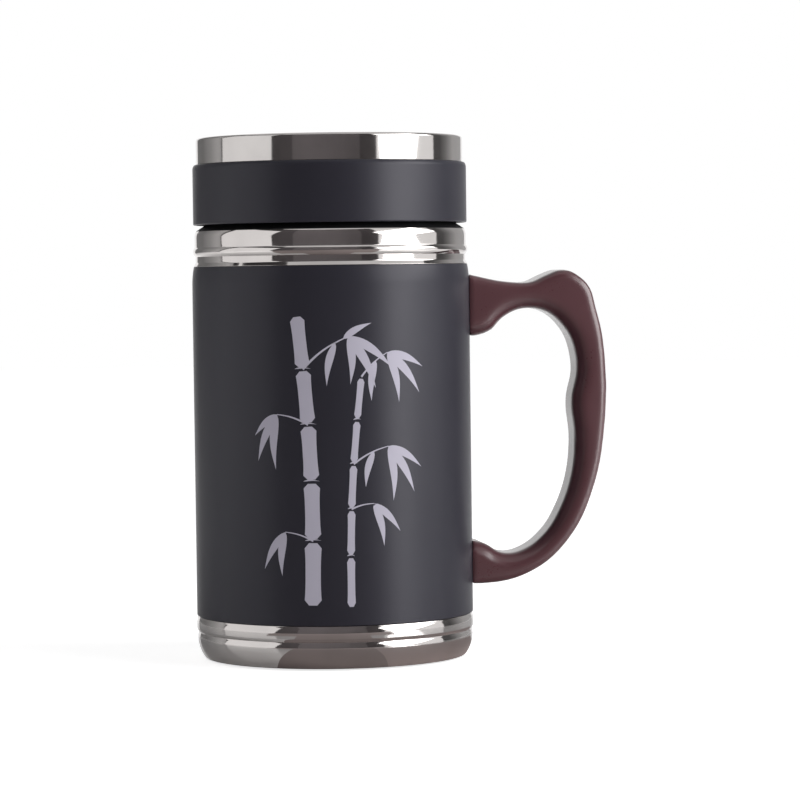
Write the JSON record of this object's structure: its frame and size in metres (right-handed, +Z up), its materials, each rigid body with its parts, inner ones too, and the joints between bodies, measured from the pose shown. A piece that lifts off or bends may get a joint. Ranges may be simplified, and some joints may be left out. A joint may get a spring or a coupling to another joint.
{
  "type": "lidded tea mug",
  "caption": "Straight steel mug with a clay liner, a moulded side handle with a thumb rest, a screw lid and a lift-out slotted infuser.",
  "frame": {"origin": "centre of the face that the mug stands on, on the mug's axis", "axes": "+Z up along the mug's axis, +X towards the handle, +Y to the left of a user who looks along +X"},
  "size_m": [0.1167, 0.0782, 0.1463],
  "materials": {
    "painted_steel": "matte black powder paint with a fine grain",
    "polished_steel": "mirror-polished stainless steel",
    "satin_steel": "satin stainless steel",
    "purple_clay": "unglazed purple-brown clay",
    "black_plastic": "moulded, slightly satin",
    "maroon_plastic": "moulded, satin",
    "silicone": "soft translucent grey silicone",
    "foot_silicone": "matte black silicone",
    "screw_steel": "plain zinc-plated steel"
  },
  "bodies": {
    "cup": {"shell_tube": "painted_steel", "upper_ring": "polished_steel", "base_ring": "polished_steel", "base_plate": "satin_steel", "foot_pad": "foot_silicone", "clay_liner": "purple_clay", "liner_cushion": "foot_silicone", "liner_gasket": "silicone", "neck_collar": "black_plastic", "handle": "maroon_plastic", "upper_handle_tab": "satin_steel", "lower_handle_tab": "satin_steel", "handle_screws": "screw_steel"},
    "infuser": {"infuser_basket": "satin_steel", "infuser_rim": "polished_steel"},
    "lid_seal": {"lid_seal": "silicone"},
    "lid": {"lid_band": "painted_steel", "lid_cap": "satin_steel", "lid_inner": "black_plastic"}
  },
  "joints": [
    {"name": "infuser_lift", "type": "slide", "parent": "cup", "child": "infuser", "axis": [0, 0, 1], "range_m": [0, 0.055]},
    {"name": "lid_rise", "type": "slide", "parent": "infuser", "child": "lid_seal", "axis": [0, 0, 1], "range_m": [0, 0.03]},
    {"name": "lid_turn", "type": "hinge", "parent": "lid_seal", "child": "lid", "pos_m": [0, 0, 0.13], "axis": [0, 0, 1], "range_deg": [0, 900]}
  ],
  "couplings": [
    {"joint": "lid_rise", "follows": "lid_turn", "m_per_rad": 0.0019098}
  ]
}
